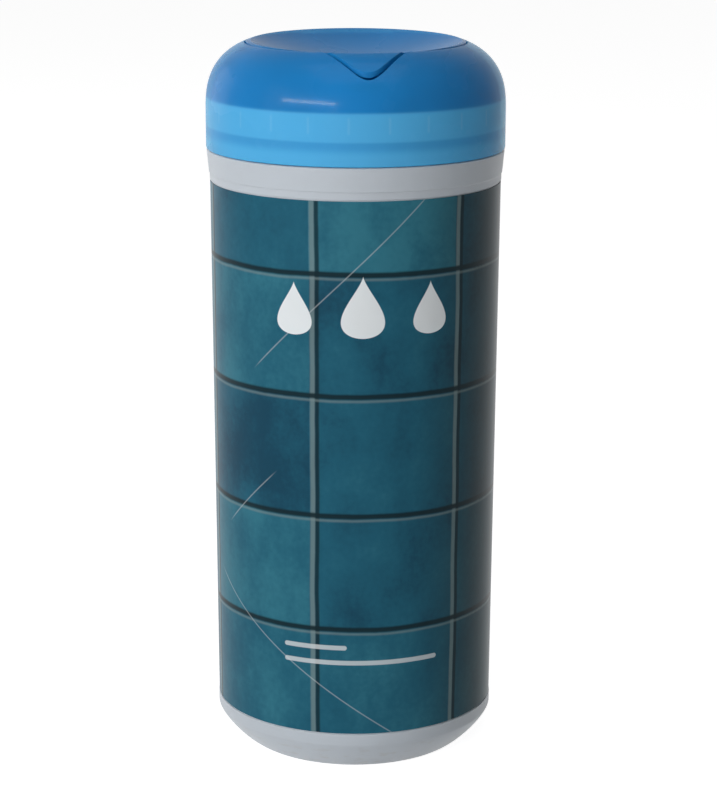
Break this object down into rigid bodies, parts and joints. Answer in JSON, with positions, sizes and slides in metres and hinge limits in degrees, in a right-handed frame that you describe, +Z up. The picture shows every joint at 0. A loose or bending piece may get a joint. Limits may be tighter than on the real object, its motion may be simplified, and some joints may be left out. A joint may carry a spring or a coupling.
{
  "type": "wipes canister",
  "caption": "Round plastic canister with a wrapped label, a push-on dome lid, a dished flip cap on a living hinge, and a roll of wet wipes drawn up through a star-cut hole.",
  "frame": {"origin": "centre of the base, on the plane that the canister stands on", "axes": "+Z up along the canister's axis, -Y towards the flip cap's tab, +X to the right as seen from the tab's side"},
  "size_m": [0.088, 0.088, 0.2132],
  "materials": {
    "white_plastic": "satin blown plastic, with a faint grain",
    "label_film": "glossy printed film",
    "wet_wipe": "soft damp nonwoven cloth",
    "blue_plastic": "translucent satin moulding"
  },
  "bodies": {
    "canister": {"canister_body": "white_plastic", "label": "label_film", "wipes_roll": "wet_wipe"},
    "closure": {"lid": "blue_plastic", "living_hinge": "blue_plastic"},
    "cap": {"flip_cap": "blue_plastic"}
  },
  "joints": [
    {"name": "lid_lift", "type": "slide", "parent": "canister", "child": "closure", "axis": [0, 0, 1], "range_m": [0, 0.06]},
    {"name": "cap_hinge", "type": "hinge", "parent": "closure", "child": "cap", "pos_m": [0, 0.03, 0.2114], "axis": [-1, 0, 0], "range_deg": [0, 110], "deforming": ["living_hinge"]}
  ]
}
